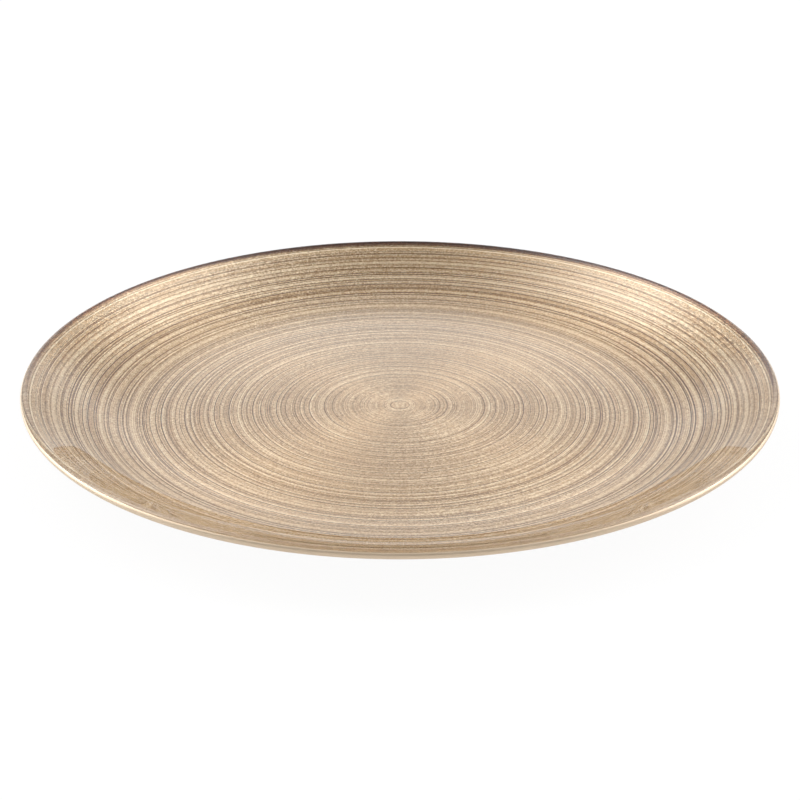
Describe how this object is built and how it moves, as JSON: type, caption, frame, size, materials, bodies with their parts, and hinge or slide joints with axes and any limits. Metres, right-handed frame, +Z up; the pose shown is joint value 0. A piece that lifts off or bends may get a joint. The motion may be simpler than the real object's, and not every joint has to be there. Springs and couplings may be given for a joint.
{
  "type": "dinner plate",
  "caption": "Round rimless coupe dinner plate of clear bent glass with a rounded edge, brushed gold paint on its underside and a lacquer that seals the paint.",
  "frame": {"origin": "centre of the underside of the base, on the surface that the plate stands on", "axes": "+Z up along the plate's own axis, X and Y along the table"},
  "size_m": [0.28, 0.28, 0.0198],
  "materials": {
    "clear_glass": "clear and glossy, bent over a mould, with its edge ground to a full round and polished",
    "gold_paint": "metallic gold paint, brushed in rings",
    "back_lacquer": "satin champagne lacquer"
  },
  "bodies": {
    "root": {"glass_body": "clear_glass", "gold_paint_coat": "gold_paint", "back_seal_coat": "back_lacquer"}
  },
  "joints": []
}
